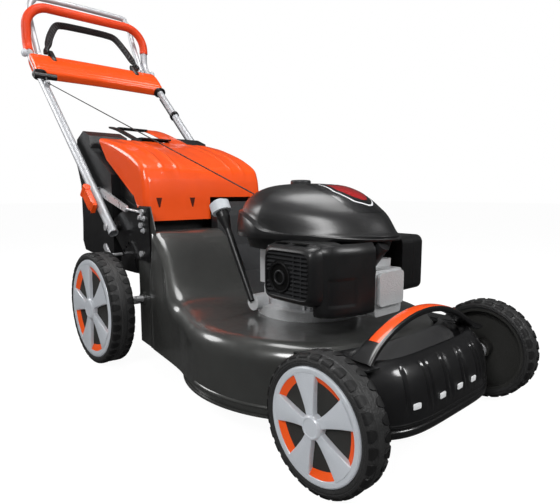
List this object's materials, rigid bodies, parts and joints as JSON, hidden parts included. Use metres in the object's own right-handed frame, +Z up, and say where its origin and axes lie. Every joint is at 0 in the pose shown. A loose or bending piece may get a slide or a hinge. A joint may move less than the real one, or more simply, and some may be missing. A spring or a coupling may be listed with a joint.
{
  "type": "walk-behind rotary lawn mower",
  "caption": "Self-propelled petrol rotary lawn mower with orange rear flap and handle, dark deck and grass catcher, adjustable wheels and folding handle.",
  "frame": {"origin": "on the ground under the middle of the bounding box", "axes": "+X forward, +Y operator's left, +Z up"},
  "size_m": [1.6226, 0.6, 1.1391],
  "materials": {
    "deck_paint": "gloss anthracite powder coat",
    "black_plastic": "moulded black, semi gloss",
    "matt_black": "fine grained moulded black",
    "grey_plastic": "dark grey moulded",
    "catcher_grey": "glossy dark grey moulded lid",
    "orange_plastic": "bright orange moulded",
    "silver_plastic": "silver grey moulded",
    "oil_cap_grey": "light grey moulded",
    "zinc_steel": "zinc plated",
    "dark_steel": "black paint",
    "cast_alloy": "as cast",
    "tube_alloy": "satin anodised",
    "tyre_rubber": "moulded tread",
    "soft_rubber": "dull",
    "filter_foam": "open foam",
    "white_ceramic": "glazed"
  },
  "bodies": {
    "chassis": {"deck_housing": "deck_paint", "front_bumper": "black_plastic", "carry_handle_inlay": "orange_plastic", "belt_cover": "grey_plastic", "handle_brackets": "dark_steel", "handle_stays": "zinc_steel", "bracket_bolts": "zinc_steel", "flap_pin": "zinc_steel", "drive_belt": "soft_rubber", "engine_block": "cast_alloy", "head_cover": "cast_alloy", "muffler": "zinc_steel", "muffler_guard": "matt_black", "engine_cowl": "matt_black", "engine_cover": "black_plastic", "fuel_tank": "matt_black", "air_cleaner_case": "matt_black", "air_cleaner_cover": "grey_plastic", "air_filter": "filter_foam", "spark_plug": "white_ceramic", "plug_cap": "soft_rubber", "oil_filler_tube": "matt_black", "engine_bolts": "zinc_steel"},
    "crank": {"crankshaft": "zinc_steel", "flywheel": "cast_alloy", "blade_hub": "cast_alloy", "blade": "zinc_steel", "blade_bolt": "zinc_steel"},
    "rear_axle_set": {"rear_axle": "zinc_steel", "gearbox": "grey_plastic", "height_lever": "zinc_steel"},
    "gearbox_input": {"gearbox_pulley": "grey_plastic"},
    "arm_right": {"front_arm_right": "zinc_steel"},
    "arm_left": {"front_arm_left": "zinc_steel"},
    "handle": {"handle_tube": "tube_alloy", "handle_grip": "orange_plastic", "console": "orange_plastic", "control_cables": "soft_rubber", "starter_rope": "soft_rubber"},
    "brake_lever": {"brake_bail": "tube_alloy"},
    "drive_lever": {"drive_bail": "matt_black"},
    "clamp_right": {"cam_lever_right": "orange_plastic"},
    "clamp_left": {"cam_lever_left": "orange_plastic"},
    "pull_grip": {"starter_grip": "matt_black"},
    "flap": {"rear_flap": "orange_plastic"},
    "catcher": {"catcher_bin": "matt_black", "catcher_lid": "catcher_grey"},
    "oil_plug": {"oil_cap": "oil_cap_grey"},
    "wheel_front_right": {"tyre_front_right": "tyre_rubber", "rim_front_right": "grey_plastic", "cap_front_right": "silver_plastic"},
    "wheel_front_left": {"tyre_front_left": "tyre_rubber", "rim_front_left": "grey_plastic", "cap_front_left": "silver_plastic"},
    "wheel_rear_right": {"tyre_rear_right": "tyre_rubber", "rim_rear_right": "grey_plastic", "cap_rear_right": "silver_plastic"},
    "wheel_rear_left": {"tyre_rear_left": "tyre_rubber", "rim_rear_left": "grey_plastic", "cap_rear_left": "silver_plastic"}
  },
  "joints": [
    {"name": "rear_height", "type": "hinge", "parent": "chassis", "child": "rear_axle_set", "pos_m": [0.04068, 0, 0.165], "axis": [0, 1, 0], "range_deg": [-15, 12], "deforming": ["drive_belt"]},
    {"name": "front_height_right", "type": "hinge", "parent": "chassis", "child": "arm_right", "pos_m": [0.66068, -0.219, 0.132], "axis": [0, 1, 0], "range_deg": [-21, 26]},
    {"name": "front_height_left", "type": "hinge", "parent": "chassis", "child": "arm_left", "pos_m": [0.66068, 0.219, 0.132], "axis": [0, 1, 0], "range_deg": [-21, 26]},
    {"name": "wheel_spin_front_right", "type": "hinge", "parent": "arm_right", "child": "wheel_front_right", "pos_m": [0.70868, -0.253, 0.1025], "axis": [0, 1, 0], "continuous": true},
    {"name": "wheel_spin_front_left", "type": "hinge", "parent": "arm_left", "child": "wheel_front_left", "pos_m": [0.70868, 0.253, 0.1025], "axis": [0, 1, 0], "continuous": true},
    {"name": "wheel_spin_rear_right", "type": "hinge", "parent": "rear_axle_set", "child": "wheel_rear_right", "pos_m": [-0.04432, -0.2715, 0.14], "axis": [0, 1, 0], "continuous": true},
    {"name": "wheel_spin_rear_left", "type": "hinge", "parent": "rear_axle_set", "child": "wheel_rear_left", "pos_m": [-0.04432, 0.2715, 0.14], "axis": [0, 1, 0], "continuous": true},
    {"name": "crank_spin", "type": "hinge", "parent": "chassis", "child": "crank", "pos_m": [0.43068, 0, 0.2], "axis": [0, 0, 1], "continuous": true},
    {"name": "gearbox_input_spin", "type": "hinge", "parent": "rear_axle_set", "child": "gearbox_input", "pos_m": [0.03068, 0.095, 0.129], "axis": [0, 0, 1], "continuous": true},
    {"name": "handle_fold", "type": "hinge", "parent": "chassis", "child": "handle", "pos_m": [-0.09032, 0, 0.339], "axis": [0, 1, 0], "range_deg": [0, 110], "deforming": ["control_cables", "starter_rope"]},
    {"name": "brake_swing", "type": "hinge", "parent": "handle", "child": "brake_lever", "pos_m": [-0.70669, 0, 0.90379], "axis": [0, 1, 0], "range_deg": [0, 8], "stiffness_Nm_per_rad": 3, "springref_deg": -17.19},
    {"name": "drive_swing", "type": "hinge", "parent": "handle", "child": "drive_lever", "pos_m": [-0.69918, 0, 0.91782], "axis": [0, 1, 0], "range_deg": [0, 10], "stiffness_Nm_per_rad": 3, "springref_deg": -17.19},
    {"name": "clamp_swing_right", "type": "hinge", "parent": "handle", "child": "clamp_right", "pos_m": [-0.19354, -0.2425, 0.43358], "axis": [-0.6756, 0, -0.7373], "range_deg": [0, 110]},
    {"name": "clamp_swing_left", "type": "hinge", "parent": "handle", "child": "clamp_left", "pos_m": [-0.19354, 0.2425, 0.43358], "axis": [0.6756, 0, 0.7373], "range_deg": [0, 110]},
    {"name": "starter_pull", "type": "slide", "parent": "handle", "child": "pull_grip", "axis": [0, 0, 1], "range_m": [0, 0.4], "stiffness_N_per_m": 20, "springref_m": -0.5, "deforming": ["starter_rope"]},
    {"name": "flap_hinge", "type": "hinge", "parent": "chassis", "child": "flap", "pos_m": [0.02768, 0, 0.366], "axis": [0, 1, 0], "range_deg": [0, 60], "stiffness_Nm_per_rad": 2, "springref_deg": -114.59, "deforming": ["starter_rope"]},
    {"name": "catcher_lift", "type": "slide", "parent": "chassis", "child": "catcher", "axis": [-0.98, 0, 0.199], "range_m": [0, 0.35]},
    {"name": "oil_cap_turn", "type": "hinge", "parent": "chassis", "child": "oil_plug", "pos_m": [0.27968, -0.122, 0.386], "axis": [-0.4992, 0, 0.8665], "range_deg": [0, 90]}
  ],
  "couplings": [
    {"joint": "front_height_right", "follows": "rear_height", "ratio": -1.6667},
    {"joint": "front_height_left", "follows": "rear_height", "ratio": -1.6667},
    {"joint": "gearbox_input_spin", "follows": "crank_spin", "ratio": 0.78571}
  ]
}
